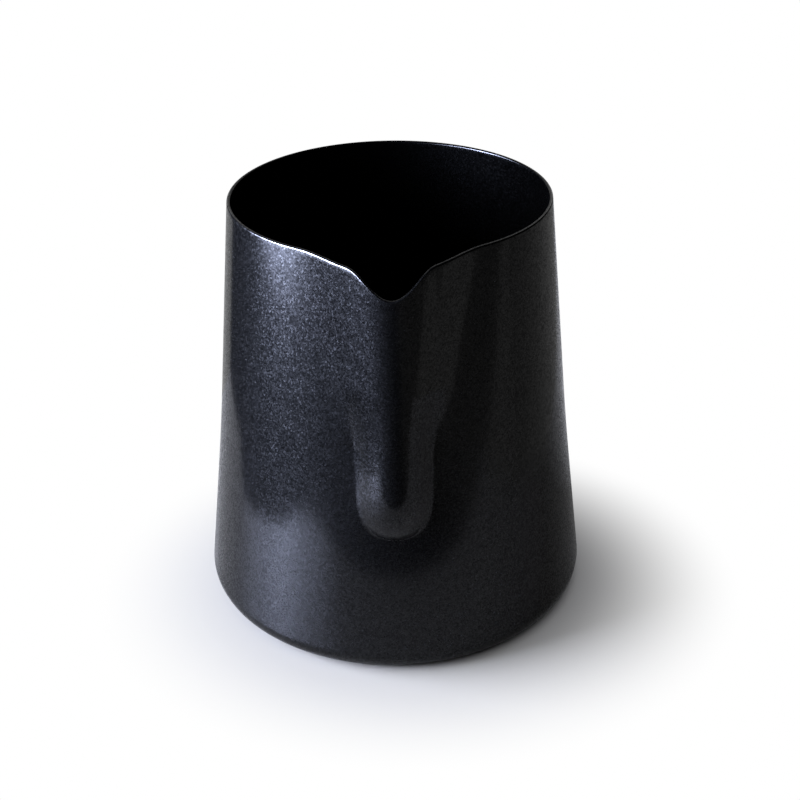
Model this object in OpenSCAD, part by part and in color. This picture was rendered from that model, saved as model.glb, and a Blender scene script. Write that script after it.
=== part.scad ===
// Handleless milk frothing pitcher, 500 ml class.
// A conical sheet-metal wall with a pressed pouring spout stands on a drawn
// base pan, and a flush weld ring joins the two.
// Units are millimetres. +Z is up, the origin is the middle of the foot on the
// counter, and the spout points along -Y.

/* [Mouth] */
// Outer diameter of the mouth, on the rim
mouth_d = 74; // [66:1:84]
// Height of the rim above the counter, away from the spout
rim_h = 101; // [92:1:125]

/* [Wall] */
// Thickness of the metal sheet of the wall and the base pan
sheet_t = 0.9; // [0.6:0.1:1.2]
// Lean of the wall above the waist, from vertical, in degrees
wall_lean = 5.45; // [4:0.05:7]
// Lean of the wall below the waist, where it flares out to the foot, in degrees
foot_lean = 7; // [6:0.1:9]
// Height where the two leans meet
waist_h = 44; // [38:1:56]
// Height over which one lean blends into the other
waist_blend = 20; // [10:1:30]

/* [Base] */
// Outer radius of the rounded corner round the foot
corner_r = 4.8; // [3.5:0.1:7]
// Straight skirt of the base pan, between its corner and the weld
skirt_h = 0.8; // [0.4:0.1:3]
// Height of the weld ring between the base pan and the wall
weld_h = 0.8; // [0.5:0.1:1.5]
// Width of the flat ring that the pitcher stands on
foot_ring_w = 6; // [4:0.5:9]
// Rise of the recessed middle of the base above the counter
recess_rise = 1; // [0.5:0.1:1.8]
// Width of the slope between the flat ring and the recess
recess_slope_w = 3; // [2:0.5:5]

/* [Spout] */
// Width of the whole spout on the rim, across the flares that lead into it
spout_w = 42; // [36:1:48]
// Width of the narrow throat along the middle of the spout
throat_w = 18; // [15:0.5:22]
// Height above which the throat has its full width and roundness
throat_h = 72; // [66:1:81]
// Share of the spout's depth that is in the throat, the rest being in the flares
throat_share = 0.2; // [0.1:0.05:0.5]
// How far the tip of the lip stands out from the wall
tip_out = 7; // [5.5:0.1:9.5]

/* [Lip] */
// How far the lip dips below the rim at its tip
lip_drop = 6.5; // [4:0.1:8]
// Width of the notch, the middle of the lip, where it dips most
notch_w = 17.4; // [13:0.2:21]
// Share of the lip's dip that is in its notch, the rest being in the flares
notch_share = 0.8; // [0.5:0.05:0.9]

/* [Spout keel] */
// Height below which the keel runs out into its round nose
nose_h = 57; // [50:1:64]
// Length of the nose, down to its round end
nose_len = 21.8; // [18:0.2:26]
// How far the keel stands out from the wall where the nose begins
nose_out = 5.5; // [4:0.1:6.5]
// Width of the nose
nose_w = 17.2; // [15:0.2:20]
// Width over which the nose fades into the wall
fade_w = 26; // [22:0.5:30]
// Share of the nose's depth that is in the nose, the rest being in its fade
nose_share = 0.85; // [0.7:0.05:0.95]

/* [Hidden] */
$fn = 128;

// Powers that set how round the throat, the nose, the flares and the notch are
throat_power = 2;
nose_power = 1.4;
flare_power = 2;
notch_power = 2.7;
// Powers that set how the nose runs out downwards, how crisp its round end is,
// and how much sooner its fade runs out
run_power = 5;
end_power = 0.8;
fade_power = 2;

// Columns of the wall's mesh, and how many times closer they lie at the spout
columns = 84;
front_density = 0.2;
// Rows of the wall's mesh below, over and above the nose, and round the rim
foot_rows = 4;
nose_rows = 10;
upper_rows = 10;
edge_rows = 4;
// Power that sets how much closer the rows lie at the end of the nose
row_power = 1.6;
// Step for slopes, in degrees round the wall and in millimetres up it
probe = 0.05;
// Steps of the corner arcs and of the recess slope
corner_steps = 16;
recess_steps = 6;

mouth_r = mouth_d / 2;
corner_top = corner_r * (1 + sin(foot_lean));
weld_bottom = corner_top + skirt_h;
weld_top = weld_bottom + weld_h;
tip_h = rim_h - lip_drop;
nose_bottom = nose_h - nose_len;
wall_rows = foot_rows + nose_rows + upper_rows;

// Outer radius of the plain cone at height z. Below the waist the lean grows
// from wall_lean to foot_lean along a parabola waist_blend high.
function flare_depth(d) =
    d <= 0 ? 0 : d < waist_blend ? d * d / (2 * waist_blend) : d - waist_blend / 2;
function cone_r(z) =
    mouth_r + (rim_h - z) * tan(wall_lean)
    + (tan(foot_lean) - tan(wall_lean)) * flare_depth(waist_h + waist_blend / 2 - z);
// Inner radius of the plain cone below the waist
function cone_inner_r(z) = cone_r(z) - sheet_t / cos(foot_lean);

function mix(a, b, t) = a + (b - a) * t;
function hump(x, power) = x >= 1 ? 0 : pow(1 - x * x, power);
function swell(x, power) = x >= 1 ? 0 : pow(cos(90 * x), power);

// Height of the spout's section at the place s round the wall and z up it, from
// 0 beside the spout to 1 on its keel: a narrow hump on a broad swell. Below
// nose_h both run out, and the hump ends in the round end of the nose.
function share_of(z, from, to) = min(max((z - from) / (to - from), 0), 1);
function keel_section(s, z) =
    let (up = share_of(z, nose_h, rim_h), t = share_of(z, nose_h, throat_h))
    let (run = pow(share_of(z, nose_h, nose_bottom), run_power))
    let (share = mix(nose_share, throat_share, t))
    let (x = s / (mix(nose_w, throat_w, t) / 2))
    let (power = mix(mix(nose_power, throat_power, t), end_power, run))
    share * hump(sqrt(x * x + run), power)
    + (1 - share) * pow(1 - run, fade_power)
        * swell(abs(s) / (mix(fade_w, spout_w, up) / 2), flare_power);
function keel_out(z) = mix(nose_out, tip_out, (z - nose_h) / (tip_h - nose_h));
function arc_along(a, z) = cone_r(z) * a * PI / 180;

// Outer and inner radius of the wall at the angle a from the spout, height z
function outer_r(a, z) = cone_r(z) + keel_out(z) * keel_section(arc_along(a, z), z);
function lean_factor(a, z) =
    let (round = (outer_r(a + probe, z) - outer_r(a - probe, z)) / (2 * probe * PI / 180))
    let (rise = (outer_r(a, z + probe) - outer_r(a, z - probe)) / (2 * probe))
    norm([1, round / outer_r(a, z), rise]);
function inner_r(a, z) =
    z <= weld_top ? cone_inner_r(z) : outer_r(a, z) - sheet_t * lean_factor(a, z);
// Height of the rim at the angle a: it dips in the notch and with the flares
function lip_section(s) =
    mix(swell(s / (spout_w / 2), flare_power), hump(s / (notch_w / 2), notch_power), notch_share);
function lip_h(a) = rim_h - lip_drop * lip_section(abs(arc_along(a, rim_h)));

// Angle of a column, row height up the wall, and a point from them
function column_angle(i) =
    let (u = 2 * i / columns - 1)
    180 * u * (front_density + (1 - front_density) * abs(u));
function row_h(a, j) =
    j <= foot_rows ? mix(weld_top, nose_bottom, j / foot_rows)
    : j <= foot_rows + nose_rows ?
        mix(nose_bottom, nose_h, pow((j - foot_rows) / nose_rows, row_power))
    : mix(nose_h, lip_h(a) - sheet_t / 2, (j - foot_rows - nose_rows) / upper_rows);
function at(a, r, z) = [r * sin(a), -r * cos(a), z];
// One closed section of the wall: up the outside, over the rounded edge of the
// rim, and down the inside
function wall_loop(a) =
    let (top = row_h(a, wall_rows), r_out = outer_r(a, top), r_in = inner_r(a, top))
    [
        for (j = [0 : wall_rows])
            let (z = row_h(a, j)) at(a, outer_r(a, z), z),
        for (k = [1 : edge_rows - 1])
            let (turn = 180 * k / edge_rows)
            at(a, (r_out + r_in) / 2 + (r_out - r_in) / 2 * cos(turn), top + sheet_t / 2 * sin(turn)),
        for (j = [wall_rows : -1 : 0])
            let (z = row_h(a, j)) at(a, inner_r(a, z), z)
    ];

module wall() {
    loops = [for (i = [0 : columns - 1]) wall_loop(column_angle(i))];
    n = len(loops[0]);
    color([0.06, 0.06, 0.075])
        polyhedron(
            points = [for (loop = loops) each loop],
            faces = [
                for (i = [0 : columns - 1], j = [0 : n - 1])
                    let (i2 = (i + 1) % columns, j2 = (j + 1) % n)
                    each [
                        [i * n + j, i * n + j2, i2 * n + j2],
                        [i * n + j, i2 * n + j2, i2 * n + j]
                    ]
            ],
            convexity = 6
        );
}

module base_weld() {
    color([0.06, 0.06, 0.075])
        rotate_extrude()
            polygon([
                [cone_inner_r(weld_bottom), weld_bottom],
                [cone_r(weld_bottom), weld_bottom],
                [cone_r(weld_top), weld_top],
                [cone_inner_r(weld_top), weld_top]
            ]);
}

module base_pan() {
    // The corner's centre lies so that its arc meets the counter and the cone
    corner_c = cone_r(corner_r) - corner_r / cos(foot_lean);
    ring_in = corner_c - foot_ring_w;
    function corner_at(r, k) =
        let (turn = mix(foot_lean, -90, k / corner_steps))
        [corner_c + r * cos(turn), corner_r + r * sin(turn)];
    function recess_at(lift, k) =
        let (u = k / recess_steps)
        [ring_in - recess_slope_w * u, lift + recess_rise * (1 - cos(180 * u)) / 2];
    color([0.06, 0.06, 0.075])
        rotate_extrude()
            polygon([
                [cone_r(weld_bottom), weld_bottom],
                for (k = [0 : corner_steps]) corner_at(corner_r, k),
                for (k = [0 : recess_steps]) recess_at(0, k),
                [0, recess_rise],
                [0, recess_rise + sheet_t],
                for (k = [recess_steps : -1 : 0]) recess_at(sheet_t, k),
                for (k = [corner_steps : -1 : 0]) corner_at(corner_r - sheet_t, k),
                [cone_inner_r(weld_bottom), weld_bottom]
            ]);
}

wall();
base_weld();
base_pan();
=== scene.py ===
"""Looks of the milk frothing pitcher: a black coated steel jug on a pale floor.

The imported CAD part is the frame. The wall, the weld and the base pan are built
again here as finer meshes from the same sizes, in metres, and each stands for
its CAD node.
"""

import math

import bpy
import numpy as np
from mathutils import Matrix, Vector
from mathutils.bvhtree import BVHTree


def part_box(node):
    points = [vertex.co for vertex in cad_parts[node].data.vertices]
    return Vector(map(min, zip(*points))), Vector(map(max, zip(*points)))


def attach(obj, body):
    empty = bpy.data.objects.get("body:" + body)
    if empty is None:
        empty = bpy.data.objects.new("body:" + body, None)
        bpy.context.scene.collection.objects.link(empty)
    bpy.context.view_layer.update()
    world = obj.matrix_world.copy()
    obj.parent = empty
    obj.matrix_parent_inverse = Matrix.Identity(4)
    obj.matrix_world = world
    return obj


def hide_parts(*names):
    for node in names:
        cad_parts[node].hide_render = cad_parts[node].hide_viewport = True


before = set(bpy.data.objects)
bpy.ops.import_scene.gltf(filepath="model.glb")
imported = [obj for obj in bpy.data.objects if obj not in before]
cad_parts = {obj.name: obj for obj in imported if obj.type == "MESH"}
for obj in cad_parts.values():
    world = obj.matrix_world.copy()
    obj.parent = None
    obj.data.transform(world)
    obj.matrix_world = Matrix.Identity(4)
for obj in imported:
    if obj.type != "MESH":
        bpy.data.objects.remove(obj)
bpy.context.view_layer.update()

MM = 0.001

# ---------------------------------------------------------------- image points
# In the photograph's 800 x 800 frame
W, H = 800, 800
# How far from the lip's tip its shoulders are looked for, in pixels
SHOULDER_REACH = 70

# ---------------------------------------------------------------------- camera
CAMERA_AT = (0.0, -291.9 * MM, 210.8 * MM)
CAMERA_AIM = (1.68 * MM, 0.0, 46.8 * MM)
CAMERA_ROLL = math.radians(-0.785)
CAMERA_LENS = 60.96
SENSOR = 36.0

# ---------------------------------------------------------- sizes of the sheet
RIM_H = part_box("wall")[1].z
WELD_BOTTOM, WELD_TOP = (corner.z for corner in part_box("base_weld"))
MOUTH_R = 37 * MM
SHEET_T = 0.9 * MM
WALL_LEAN = math.radians(5.45)
FOOT_LEAN = math.radians(7)
WAIST_H = 44 * MM
WAIST_BLEND = 20 * MM
CORNER_R = 4.8 * MM
FOOT_RING_W = 6 * MM
RECESS_RISE = 1 * MM
RECESS_SLOPE_W = 3 * MM
# Radius of the flat middle of the pan
HUB_R = 4 * MM

SPOUT_W = 42 * MM
THROAT_W = 18 * MM
THROAT_H = 72 * MM
THROAT_SHARE = 0.2
TIP_OUT = 7 * MM
LIP_DROP = 6.5 * MM
TIP_H = RIM_H - LIP_DROP
NOTCH_W = 17.4 * MM
NOTCH_SHARE = 0.8
NOSE_H = 57 * MM
NOSE_LEN = 21.8 * MM
NOSE_OUT = 5.5 * MM
NOSE_W = 17.2 * MM
NOSE_SHARE = 0.85
FADE_W = 26 * MM
THROAT_POWER = 2
NOSE_POWER = 1.4
FLARE_POWER = 2
NOTCH_POWER = 2.7
RUN_POWER = 5
END_POWER = 0.8
FADE_POWER = 2

# ----------------------------------------------------------- fineness of meshes
# Columns of the wall's mesh, and how many times closer they lie at the spout
WALL_COLUMNS = 288
FRONT_DENSITY = 0.3
# Rows of the wall's mesh below, over and above the nose, and how much closer
# they lie at the nose's end
FOOT_ROWS, NOSE_ROWS, UPPER_ROWS = 24, 80, 60
WALL_ROWS = FOOT_ROWS + NOSE_ROWS + UPPER_ROWS
ROW_POWER = 1.6
# Steps of the rim's rounded edge, of the pan's corner and of its recess
EDGE_STEPS = 8
CORNER_STEPS, RECESS_STEPS = 24, 12
TURNED_COLUMNS = 320
SHARP_ANGLE = math.radians(35)
# Steps for slopes, in radians round the wall and in metres up it
PROBE_A, PROBE_Z = 0.001, 0.05 * MM

# --------------------------------------------------------------- coating values
# The ramps run over the flakes, from a place of 0 to 1 to a level of grey
FLAKE_SIZE = 0.3 * MM
FLAKE_TILT = 0.2
FLAKE_COLOURS = ((0.0, 0.0018), (0.6, 0.0048), (1.0, 0.0096))
FLAKE_METAL = ((0.0, 0.6), (1.0, 1.0))
FLAKE_ROUGHNESS = 0.36
FLAKE_TINT = 0.05
GLOSS_WEIGHT = ((0.0, 0.35), (1.0, 1.0))
GLOSS_ROUGHNESS = 0.14
GLOSS_IOR = 1.32
PEEL_SIZE = 0.5 * MM
PEEL_DEPTH = 0.03
# Painted shade inside the pitcher: what is left there of the flake's colour and of the gloss
INSIDE_SHADE_FLAKE = 0.2
INSIDE_SHADE_GLOSS = 0.4

# --------------------------------------------------------------- studio values
WHITE = (1, 1, 1)
FAR = 3.0

# The board under the pitcher, and the patch of it that the camera sees
BOARD_COLOUR = (0.36, 0.36, 0.37)
BOARD_ROUGHNESS = 0.3
BOARD_SPECULAR = 0.018
PATCH_CENTRE = (0.0055, -0.009)
PATCH_RADII = (0.083, 0.071)
PATCH_FADE = 0.45

# The board's edges as the pitcher mirrors them
CARD_H = 0.2 * MM
BOARD_FRONT = -105 * MM
BOARD_LEFT = -103 * MM
BOARD_RIGHT = 124 * MM
BOARD_CORNER = 32 * MM
BOARD_CORNER_POINTS = 13
BOARD_SIDE = ((-0.103, -0.04), (-0.105, 0.0), (-0.120, 0.018), (-0.130, 0.03), (-0.130, 0.09))
BACK_SIDE = ((-0.130, 0.09), (-0.212, 0.2), (-2.7, 3.0), (-0.06, 3.0), (-0.06, 0.09))

# Power of the cards beyond the edges, and where it changes
BACK_POWER = 0.6
AHEAD_POWER = (0.045, 0.2)
AHEAD_X = (0.04, 0.11)
RIGHT_POWER = (0.3, 0.45)
RIGHT_Y = (-0.03, -0.08)
STREAK_AZIMUTH = math.radians(-76)
STREAK_POWER = 21
STREAK_SPREAD = 0.5
STREAK_START = (0.31, 0.45)

# The softboxes: place, size in metres and radiance
GLOW_COLOUR = (0.82, 0.92, 1.3)
GLOW_AWAY = 1.0
GLOW_AIM = (0, -0.02, 0.055)
GLOW_AZIMUTH = math.radians(-71)
GLOW_HEIGHT = 0.36
GLOW_SIZE = (1.7, 0.34)
GLOW_RADIANCE = 330
LOW_AZIMUTH = math.radians(-71)
LOW_HEIGHT = 0.19
LOW_SIZE = (0.5, 0.16)
LOW_RADIANCE = 560
WINDOW_AT = (-1.0, -0.05, 0.42)
WINDOW_SIZE = (0.8, 0.4)
WINDOW_RADIANCE = 45
WINDOW_COLOUR = (0.95, 0.98, 1.07)
FILL_AT = (0.1, -0.2, 1.4)
FILL_SIZE = (2.0, 2.0)
FILL_RADIANCE = 1.5
BACK_AT = (0, 2.6, 1.9)
BACK_AIM = (0, 0, 0.1)
BACK_SIZE = (4.0, 3.6)
BACK_RADIANCE = 1.3


# ----------------------------------------------------------- shape of the sheet
def mix(a, b, t):
    return a + (b - a) * t


def hump(x, power):
    return np.clip(1 - x * x, 0, 1) ** power


def swell(x, power):
    return np.cos(math.pi / 2 * np.clip(x, 0, 1)) ** power


def share_of(z, low, high):
    return np.clip((z - low) / (high - low), 0, 1)


def cone_r(z):
    """Outer radius of the plain cone at height z, flared below the waist."""
    d = WAIST_H + WAIST_BLEND / 2 - z
    bend = np.where(d < WAIST_BLEND, d * d / (2 * WAIST_BLEND), d - WAIST_BLEND / 2)
    flare = (math.tan(FOOT_LEAN) - math.tan(WALL_LEAN)) * np.where(d <= 0, 0, bend)
    return MOUTH_R + (RIM_H - z) * math.tan(WALL_LEAN) + flare


def cone_inner_r(z):
    """Inner radius of the plain cone below the waist."""
    return cone_r(z) - SHEET_T / math.cos(FOOT_LEAN)


def keel_section(s, z):
    """Height of the spout's section, from 0 beside the spout to 1 on its keel."""
    up, t = share_of(z, NOSE_H, RIM_H), share_of(z, NOSE_H, THROAT_H)
    run = share_of(z, NOSE_H, NOSE_H - NOSE_LEN) ** RUN_POWER
    share = mix(NOSE_SHARE, THROAT_SHARE, t)
    x = s / (mix(NOSE_W, THROAT_W, t) / 2)
    power = mix(mix(NOSE_POWER, THROAT_POWER, t), END_POWER, run)
    narrow = hump(np.sqrt(x * x + run), power)
    broad = swell(np.abs(s) / (mix(FADE_W, SPOUT_W, up) / 2), FLARE_POWER)
    return mix((1 - run) ** FADE_POWER * broad, narrow, share)


def outer_r(a, z):
    """Outer radius of the wall at the angle a from the spout and height z."""
    out = mix(NOSE_OUT, TIP_OUT, (z - NOSE_H) / (TIP_H - NOSE_H))
    return cone_r(z) + out * keel_section(cone_r(z) * a, z)


def inner_r(a, z):
    """The outer radius less the sheet, measured square to the sheet."""
    r = outer_r(a, z)
    turn = (outer_r(a + PROBE_A, z) - outer_r(a - PROBE_A, z)) / (2 * PROBE_A) / r
    rise = (outer_r(a, z + PROBE_Z) - outer_r(a, z - PROBE_Z)) / (2 * PROBE_Z)
    return r - SHEET_T * np.sqrt(1 + turn ** 2 + rise ** 2)


def lip_h(a):
    """Height of the rim: it dips in a notch and, more broadly, with the flares."""
    s = np.abs(cone_r(np.full_like(a, RIM_H)) * a)
    notch = hump(s / (NOTCH_W / 2), NOTCH_POWER)
    return RIM_H - LIP_DROP * mix(swell(s / (SPOUT_W / 2), FLARE_POWER), notch, NOTCH_SHARE)


# ------------------------------------------------------------------- materials
class Nodes:
    """Short ways to add nodes to one node tree."""

    def __init__(self, tree):
        self.tree = tree

    def add(self, kind, **settings):
        node = self.tree.nodes.new(kind)
        for key, value in settings.items():
            setattr(node, key, value)
        return node

    def feed(self, value, socket):
        """Gives a socket another node's output, or a value of its own."""
        if isinstance(value, bpy.types.NodeSocket):
            self.tree.links.new(value, socket)
        else:
            socket.default_value = value

    def math(self, operation, a, b=0.0):
        node = self.add("ShaderNodeMath", operation=operation)
        self.feed(a, node.inputs[0])
        self.feed(b, node.inputs[1])
        return node.outputs[0]

    def vector(self, operation, a, b=(0, 0, 0), output=0):
        node = self.add("ShaderNodeVectorMath", operation=operation)
        self.feed(a, node.inputs[0])
        self.feed(b, node.inputs[1])
        return node.outputs[output]

    def scaled(self, value, scale):
        node = self.add("ShaderNodeVectorMath", operation="SCALE")
        self.feed(value, node.inputs[0])
        self.feed(scale, node.inputs["Scale"])
        return node.outputs[0]

    def tilted(self, normal, noise, depth):
        """A normal that noise from 0 to 1 on each axis turns to any side."""
        turn = self.scaled(self.vector("SUBTRACT", noise, (0.5, 0.5, 0.5)), depth)
        return self.vector("NORMALIZE", self.vector("ADD", normal, turn))

    def smooth(self, value, span, levels):
        """A smooth step between two levels as the value crosses the span."""
        node = self.add("ShaderNodeMapRange", interpolation_type="SMOOTHSTEP")
        self.feed(value, node.inputs["Value"])
        node.inputs["From Min"].default_value, node.inputs["From Max"].default_value = span
        node.inputs["To Min"].default_value, node.inputs["To Max"].default_value = levels
        return node.outputs[0]

    def ramp(self, value, stops):
        """Grey that follows the stops, each a place and a level."""
        node = self.add("ShaderNodeValToRGB")
        self.feed(value, node.inputs[0])
        elements = node.color_ramp.elements
        while len(elements) < len(stops):
            elements.new(0.5)
        for element, (position, level) in zip(elements, stops):
            element.position = position
            element.color = (level, level, level, 1.0)
        return node.outputs[0]

    def object_place(self):
        return self.add("ShaderNodeTexCoord").outputs["Object"]

    def show(self, shader):
        output = self.add("ShaderNodeOutputMaterial")
        self.feed(shader.outputs[0], output.inputs["Surface"])


def new_material(name):
    """An empty node material, and its nodes."""
    material = bpy.data.materials.new(name)
    material.use_nodes = True
    material.node_tree.nodes.clear()
    return material, Nodes(material.node_tree)


def black_coat():
    """Black coating with fine metallic flake under a satin clear layer, with painted shade inside
    the pitcher.
    """
    material, n = new_material("black_coat")
    where = n.object_place()
    normal = n.add("ShaderNodeNewGeometry").outputs["Normal"]
    inside = n.add("ShaderNodeAttribute", attribute_name="inside").outputs["Fac"]
    shader = n.add("ShaderNodeBsdfPrincipled")

    # Each cell is one flake: its colour is three random numbers
    cells = n.add("ShaderNodeTexVoronoi", feature="F1", voronoi_dimensions="3D")
    cells.inputs["Scale"].default_value = 1 / FLAKE_SIZE
    n.feed(where, cells.inputs["Vector"])
    chance = cells.outputs["Color"]
    pick = n.add("ShaderNodeSeparateColor")
    n.feed(chance, pick.inputs[0])
    colour = n.ramp(pick.outputs[0], FLAKE_COLOURS)
    # Painted shade: the flake colour is darkened inside the pitcher
    colour = n.scaled(colour, n.smooth(inside, (0, 1), (1, INSIDE_SHADE_FLAKE)))
    n.feed(colour, shader.inputs["Base Color"])
    n.feed(n.ramp(pick.outputs[1], FLAKE_METAL), shader.inputs["Metallic"])
    n.feed(n.tilted(normal, chance, FLAKE_TILT), shader.inputs["Normal"])
    shader.inputs["Roughness"].default_value = FLAKE_ROUGHNESS
    shader.inputs["Specular IOR Level"].default_value = 0.0
    shader.inputs["Specular Tint"].default_value = (FLAKE_TINT, FLAKE_TINT, FLAKE_TINT, 1)

    # The clear layer has a slight orange peel, and thins out over some flakes
    peel = n.add("ShaderNodeTexNoise")
    peel.inputs["Scale"].default_value = 1 / PEEL_SIZE
    peel.inputs["Detail"].default_value = 1.0
    n.feed(where, peel.inputs["Vector"])
    n.feed(n.tilted(normal, peel.outputs["Color"], PEEL_DEPTH), shader.inputs["Coat Normal"])
    gloss = n.ramp(pick.outputs[2], GLOSS_WEIGHT)
    # Painted shade: the gloss is thinned inside the pitcher
    gloss = n.scaled(gloss, n.smooth(inside, (0, 1), (1, INSIDE_SHADE_GLOSS)))
    n.feed(gloss, shader.inputs["Coat Weight"])
    shader.inputs["Coat Roughness"].default_value = GLOSS_ROUGHNESS
    shader.inputs["Coat IOR"].default_value = GLOSS_IOR
    n.show(shader)
    return material


def floor_paint():
    """Satin pale board, which whites out to the camera away from the pitcher."""
    material, n = new_material("floor_paint")
    board = n.add("ShaderNodeBsdfPrincipled")
    board.inputs["Base Color"].default_value = (*BOARD_COLOUR, 1)
    board.inputs["Roughness"].default_value = BOARD_ROUGHNESS
    board.inputs["Specular IOR Level"].default_value = BOARD_SPECULAR
    white = n.add("ShaderNodeEmission")
    white.inputs["Color"].default_value = (*WHITE, 1)
    off = n.vector("SUBTRACT", n.object_place(), (*PATCH_CENTRE, 0))
    off = n.vector("DIVIDE", off, (*PATCH_RADII, 1))
    far = n.smooth(n.vector("LENGTH", off, output="Value"), (PATCH_FADE, 1), (0, 1))
    seen = n.add("ShaderNodeLightPath").outputs["Is Camera Ray"]
    choose = n.add("ShaderNodeMixShader")
    n.feed(n.math("MULTIPLY", far, seen), choose.inputs[0])
    n.feed(board.outputs[0], choose.inputs[1])
    n.feed(white.outputs[0], choose.inputs[2])
    n.show(choose)
    return material


def glow_paint(name, colour, power):
    """Light of one colour. Its power is a number, or a function of x and y."""
    material, n = new_material(name)
    glow = n.add("ShaderNodeEmission")
    glow.inputs["Color"].default_value = (*colour, 1)
    if callable(power):
        where = n.add("ShaderNodeSeparateXYZ")
        n.feed(n.object_place(), where.inputs[0])
        power = power(n, where.outputs["X"], where.outputs["Y"])
    n.feed(power, glow.inputs["Strength"])
    n.show(glow)
    return material


# ------------------------------------------------------------------ mesh tools
def add_object(name, mesh):
    obj = bpy.data.objects.new(name, mesh)
    bpy.context.scene.collection.objects.link(obj)
    return obj


def place(angle, radius, height):
    return np.stack([radius * np.sin(angle), -radius * np.cos(angle), height], -1)


def grid_mesh(name, points, material, close_rows=True):
    """A mesh of points[column][row], closed round the columns.

    The rows close on themselves too, or end in a flat cap at either end.
    """
    columns, rows = points.shape[:2]
    index = np.arange(columns * rows).reshape(columns, rows)
    right = np.roll(index, -1, axis=0)
    if close_rows:
        up, up_right = np.roll(index, -1, axis=1), np.roll(right, -1, axis=1)
        faces = np.stack([index, right, up_right, up], -1).reshape(-1, 4).tolist()
    else:
        quads = np.stack([index[:, :-1], right[:, :-1], right[:, 1:], index[:, 1:]], -1)
        faces = quads.reshape(-1, 4).tolist()
        faces += [index[::-1, 0].tolist(), index[:, -1].tolist()]
    mesh = bpy.data.meshes.new(name)
    mesh.from_pydata(points.reshape(-1, 3).tolist(), [], faces)
    mesh.materials.append(material)
    for polygon in mesh.polygons:
        polygon.use_smooth = True
    mesh.set_sharp_from_angle(angle=SHARP_ANGLE)
    return add_object(name, mesh)


def revolve(name, outline, close_rows=True):
    """Turns an outline of (radius, height) about the axis."""
    angle = 2 * math.pi * np.arange(TURNED_COLUMNS) / TURNED_COLUMNS
    a = np.repeat(angle[:, None], len(outline), axis=1)
    radius, height = np.array(outline).T
    points = place(a, radius + 0 * a, height + 0 * a)
    return grid_mesh(name, points, coat, close_rows)


def mark_inside(obj, inside):
    """Says on each vertex whether it is inside the pitcher, as 1 or 0.

    The marks given are those of one column.
    """
    # The coat darkens what is marked inside, as painted shade
    layer = obj.data.attributes.new("inside", "FLOAT", "POINT")
    values = np.tile(inside.astype(np.float32), len(layer.data) // len(inside))
    layer.data.foreach_set("value", values)


# ---------------------------------------------------------------------- pieces
def make_wall():
    """The spouted wall: outside, rounded rim edge and inside as one skin."""
    u = 2 * np.arange(WALL_COLUMNS) / WALL_COLUMNS - 1
    angle = math.pi * u * (FRONT_DENSITY + (1 - FRONT_DENSITY) * np.abs(u))
    nose_bottom = NOSE_H - NOSE_LEN
    top = lip_h(angle) - SHEET_T / 2
    foot = np.linspace(WELD_TOP, nose_bottom, FOOT_ROWS, endpoint=False)
    nose = nose_bottom + NOSE_LEN * np.linspace(0, 1, NOSE_ROWS, endpoint=False) ** ROW_POWER
    upper = NOSE_H + (top - NOSE_H)[:, None] * np.linspace(0, 1, UPPER_ROWS + 1)
    below = np.tile(np.concatenate([foot, nose]), (WALL_COLUMNS, 1))
    rows = np.concatenate([below, upper], axis=1)
    a = np.repeat(angle[:, None], rows.shape[1], axis=1)
    out_r, in_r = outer_r(a, rows), inner_r(a, rows)
    turn = math.pi * np.arange(1, EDGE_STEPS) / EDGE_STEPS
    edge_a = np.repeat(angle[:, None], len(turn), axis=1)
    middle, half = (out_r[:, -1:] + in_r[:, -1:]) / 2, (out_r[:, -1:] - in_r[:, -1:]) / 2
    points = np.concatenate([
        place(a, out_r, rows),
        place(edge_a, middle + half * np.cos(turn), top[:, None] + SHEET_T / 2 * np.sin(turn)),
        place(a, in_r, rows)[:, ::-1],
    ], axis=1)
    obj = grid_mesh("pitcher_wall", points, coat)
    mark_inside(obj, np.arange(points.shape[1]) >= WALL_ROWS + EDGE_STEPS // 2)
    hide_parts("wall")
    return obj


def make_weld():
    """The weld ring between the wall and the base pan."""
    obj = revolve("foot_weld", [
        (cone_r(WELD_BOTTOM), WELD_BOTTOM), (cone_r(WELD_TOP), WELD_TOP),
        (cone_inner_r(WELD_TOP), WELD_TOP), (cone_inner_r(WELD_BOTTOM), WELD_BOTTOM),
    ])
    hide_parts("base_weld")
    return obj


def make_pan():
    """The base pan: skirt, rounded corner, standing ring and recess."""
    corner_c = cone_r(CORNER_R) - CORNER_R / math.cos(FOOT_LEAN)
    ring_in = corner_c - FOOT_RING_W

    def corner(r):
        turns = np.linspace(FOOT_LEAN, -math.pi / 2, CORNER_STEPS + 1)
        return [(corner_c + r * math.cos(t), CORNER_R + r * math.sin(t)) for t in turns]

    def recess(lift):
        steps = np.arange(RECESS_STEPS + 1) / RECESS_STEPS
        rises = [RECESS_RISE * (1 - math.cos(math.pi * u)) / 2 for u in steps]
        return [(ring_in - RECESS_SLOPE_W * u, lift + rise) for u, rise in zip(steps, rises)]

    under = [(HUB_R, RECESS_RISE)] + recess(0)[::-1] + corner(CORNER_R)[::-1]
    skirt = [(cone_r(WELD_BOTTOM), WELD_BOTTOM), (cone_inner_r(WELD_BOTTOM), WELD_BOTTOM)]
    over = corner(CORNER_R - SHEET_T) + recess(SHEET_T) + [(HUB_R, RECESS_RISE + SHEET_T)]
    outline = under + skirt + over
    obj = revolve("base_pan_skin", outline, close_rows=False)
    mark_inside(obj, np.arange(len(outline)) > len(under))
    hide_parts("base_pan")
    return obj


coat = black_coat()
wall = make_wall()
weld = make_weld()
pan = make_pan()
for piece in (wall, weld, pan):
    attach(piece, "root")


# ---------------------------------------------------------------------- studio
def panel(name, outline, z, material):
    """A flat stage piece inside an outline of (x, y)."""
    mesh = bpy.data.meshes.new(name)
    mesh.from_pydata([(x, y, z) for x, y in outline], [], [tuple(range(len(outline)))])
    mesh.materials.append(material)
    obj = add_object(name, mesh)
    return obj


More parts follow.
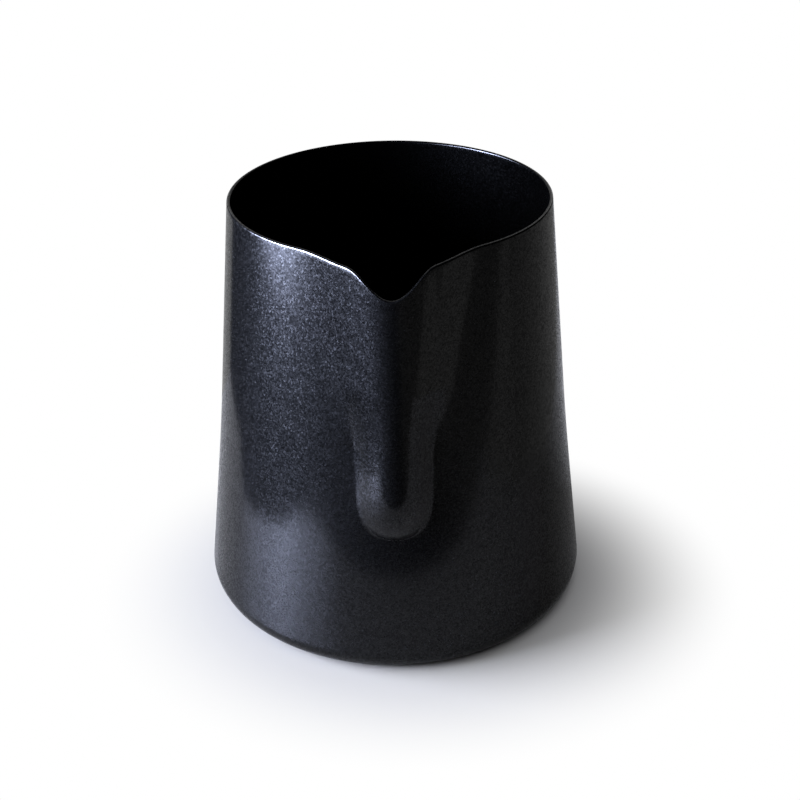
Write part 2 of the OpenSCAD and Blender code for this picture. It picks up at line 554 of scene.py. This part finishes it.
def rectangle(low, high):
    """Outline of the rectangle between two corners."""
    return [(low[0], low[1]), (high[0], low[1]), (high[0], high[1]), (low[0], high[1])]


def corner_outline():
    """Outline of what is left outside the board's rounded front left corner."""
    turns = np.radians(np.linspace(270, 180, BOARD_CORNER_POINTS))
    x, y, r = BOARD_LEFT + BOARD_CORNER, BOARD_FRONT + BOARD_CORNER, BOARD_CORNER
    return [(BOARD_LEFT, BOARD_FRONT)] + [(x + r * math.cos(t), y + r * math.sin(t)) for t in turns]


def left_outline():
    """Outline of what is left of the board, from the front to the back."""
    return [(-FAR, -FAR), (BOARD_LEFT, -FAR), *BOARD_SIDE, *BACK_SIDE[1:3], (-FAR, FAR)]


def ahead_power(n, x, y):
    return n.smooth(x, AHEAD_X, AHEAD_POWER)


def right_power(n, x, y):
    return n.smooth(y, RIGHT_Y, RIGHT_POWER)


def streak_power(n, x, y):
    """A bright streak that runs away from the pitcher to the left."""
    east, north = math.sin(STREAK_AZIMUTH), -math.cos(STREAK_AZIMUTH)
    along = n.math("ADD", n.math("MULTIPLY", x, east), n.math("MULTIPLY", y, north))
    across = n.math("SUBTRACT", n.math("MULTIPLY", y, east), n.math("MULTIPLY", x, north))
    slant = n.math("ABSOLUTE", n.math("DIVIDE", across, along))
    side = n.smooth(slant, (STREAK_SPREAD, 0), (0, STREAK_POWER))
    start = n.smooth(along, STREAK_START, (0, 1))
    return n.math("ADD", n.math("MULTIPLY", side, start), AHEAD_POWER[0])


def add_cards():
    """The cards end the pale board that the pitcher mirrors. Only reflections see them."""
    front = rectangle((BOARD_LEFT, -FAR), (FAR, BOARD_FRONT))
    right = rectangle((BOARD_RIGHT, BOARD_FRONT), (FAR, FAR))
    for name, outline, paint, colour, power in (
        ("corner_card", corner_outline(), "corner_glow", WHITE, ahead_power),
        ("back_card", BACK_SIDE, "back_glow", WHITE, BACK_POWER),
        ("front_card", front, "ahead_glow", WHITE, ahead_power),
        ("left_card", left_outline(), "streak_glow", GLOW_COLOUR, streak_power),
        ("right_card", right, "right_glow", WHITE, right_power),
    ):
        card = panel(name, outline, CARD_H, glow_paint(paint, colour, power))
        card.visible_camera = False
        card.visible_diffuse = False
        card.visible_shadow = False
        card.active_material.cycles.emission_sampling = "NONE"


def area_light(name, at, aim, size, radiance, colour):
    """A softbox of one radiance, facing a point."""
    data = bpy.data.lights.new(name, "AREA")
    data.shape = "RECTANGLE"
    data.size, data.size_y = size
    data.energy = radiance * math.pi * size[0] * size[1]
    data.color = colour
    light = add_object(name, data)
    light.location = at
    light.rotation_euler = (Vector(aim) - Vector(at)).to_track_quat("-Z", "Y").to_euler()
    return light


def soften(light):
    """Makes a softbox brightest in its middle, with soft ends."""
    light.use_nodes = True
    n = Nodes(light.node_tree)
    split = n.add("ShaderNodeSeparateXYZ")
    n.feed(n.add("ShaderNodeNewGeometry").outputs["Parametric"], split.inputs[0])
    off = n.math("ABSOLUTE", n.math("SUBTRACT", split.outputs[0], 0.5))
    n.feed(n.smooth(off, (0.5, 0), (0, 1)), light.node_tree.nodes["Emission"].inputs["Strength"])


def add_lights():
    """Two softboxes and a wall for reflections, and a window and a fill for the floor."""
    for name, azimuth, height, size, radiance in (
        ("glow", GLOW_AZIMUTH, GLOW_HEIGHT, GLOW_SIZE, GLOW_RADIANCE),
        ("low_glow", LOW_AZIMUTH, LOW_HEIGHT, LOW_SIZE, LOW_RADIANCE),
    ):
        at = (math.sin(azimuth) * GLOW_AWAY, -math.cos(azimuth) * GLOW_AWAY, height)
        glow = area_light(name, at, GLOW_AIM, size, radiance, GLOW_COLOUR)
        glow.visible_diffuse = False
        soften(glow.data)
    origin = (0, 0, 0)
    window = area_light("window", WINDOW_AT, origin, WINDOW_SIZE, WINDOW_RADIANCE, WINDOW_COLOUR)
    window.visible_glossy = False
    fill = area_light("fill", FILL_AT, origin, FILL_SIZE, FILL_RADIANCE, WHITE)
    fill.visible_glossy = False
    back = area_light("back", BACK_AT, BACK_AIM, BACK_SIZE, BACK_RADIANCE, WHITE)
    back.visible_diffuse = False


def studio_world():
    """White to the camera, dark to everything else."""
    world = bpy.data.worlds.new("studio")
    world.use_nodes = True
    world.node_tree.nodes["Background"].inputs["Color"].default_value = (*WHITE, 1)
    for ray in ("diffuse", "glossy", "transmission", "scatter"):
        setattr(world.cycles_visibility, ray, False)
    bpy.context.scene.world = world


def add_camera():
    data = bpy.data.cameras.new("camera")
    data.sensor_fit = "AUTO"
    data.sensor_width = SENSOR
    data.lens = CAMERA_LENS
    obj = add_object("camera", data)
    look = (Vector(CAMERA_AIM) - Vector(CAMERA_AT)).to_track_quat("-Z", "Y").to_matrix().to_4x4()
    roll = Matrix.Rotation(CAMERA_ROLL, 4, "Z")
    obj.matrix_world = Matrix.Translation(CAMERA_AT) @ look @ roll
    return obj


floor = panel("floor", rectangle((-FAR, -FAR), (FAR, FAR)), 0, floor_paint())
add_cards()
studio_world()
bpy.context.scene.view_settings.view_transform = "Standard"
add_lights()
camera = add_camera()
bpy.context.scene.camera = camera


# ---------------------------------------------------------- where the points show
def finished_points(obj):
    """The vertices of a piece in the scene, as rows of x, y and z."""
    flat = np.empty(3 * len(obj.data.vertices))
    obj.data.vertices.foreach_get("co", flat)
    turned = np.array(obj.matrix_world)
    return flat.reshape(-1, 3) @ turned[:3, :3].T + turned[:3, 3]


def image_of(points):
    """Where points show in the photograph's frame."""
    axes = np.array(camera.matrix_world)
    x, y, z = ((points - axes[:3, 3]) @ axes[:3, :3]).T
    scale = max(W, H) * CAMERA_LENS / SENSOR
    return np.stack([W / 2 - scale * x / z, H / 2 + scale * y / z], -1)


def face_tree(objects):
    """One tree of all the faces of some pieces."""
    vertices, faces = [], []
    for obj in objects:
        start = len(vertices)
        faces += [[start + k for k in polygon.vertices] for polygon in obj.data.polygons]
        vertices += finished_points(obj).tolist()
    return BVHTree.FromPolygons(vertices, faces)


def first_that_shows(points, order, tree):
    """Number of the first point in an order that nothing hides from the camera."""
    eye = Vector(CAMERA_AT)
    for k in order:
        ray = Vector(points[k]) - eye
        distance = tree.ray_cast(eye, ray.normalized())[3]
        if distance is None or distance > ray.length - SHEET_T / 2:
            return k
    return order[0]


def lip_shoulders(line):
    """Numbers of the columns where the rim's line bends most beside its tip."""
    middle = WALL_COLUMNS // 2
    step = np.diff(line, axis=0)
    bend = step[:-1, 0] * step[1:, 1] - step[:-1, 1] * step[1:, 0]
    bend /= np.linalg.norm(step[:-1], axis=1) ** 2
    column = np.arange(1, WALL_COLUMNS - 1)
    near = np.abs(line[1:-1, 0] - line[middle, 0]) < SHOULDER_REACH
    return [
        column[np.argmax(np.where(near & side, bend, -1))]
        for side in (column < middle, column > middle)
    ]


def found_things():
    """Where each named thing shows, from the finished vertices that show."""
    pieces = (wall, weld, pan)
    tree = face_tree(pieces)
    every = np.concatenate([finished_points(piece) for piece in pieces])
    skin = finished_points(wall).reshape(WALL_COLUMNS, -1, 3)
    flat, line = image_of(every), image_of(skin[:, WALL_ROWS + EDGE_STEPS // 2])
    middle = WALL_COLUMNS // 2
    left, right = lip_shoulders(line)
    return {
        "object_left": flat[first_that_shows(every, np.argsort(flat[:, 0]), tree)],
        "object_right": flat[first_that_shows(every, np.argsort(-flat[:, 0]), tree)],
        "object_top": flat[first_that_shows(every, np.argsort(flat[:, 1]), tree)],
        "object_bottom": flat[first_that_shows(every, np.argsort(-flat[:, 1]), tree)],
        "rim_left": line[np.argmin(line[:, 0])],
        "rim_right": line[np.argmax(line[:, 0])],
        "lip_tip": line[middle],
        "lip_shoulder_left": line[left],
        "lip_shoulder_right": line[right],
        "nose_end": image_of(skin[middle, FOOT_ROWS][None])[0],
    }


def check_points():
    """Finds where each named thing shows."""
    found = found_things()


check_points()
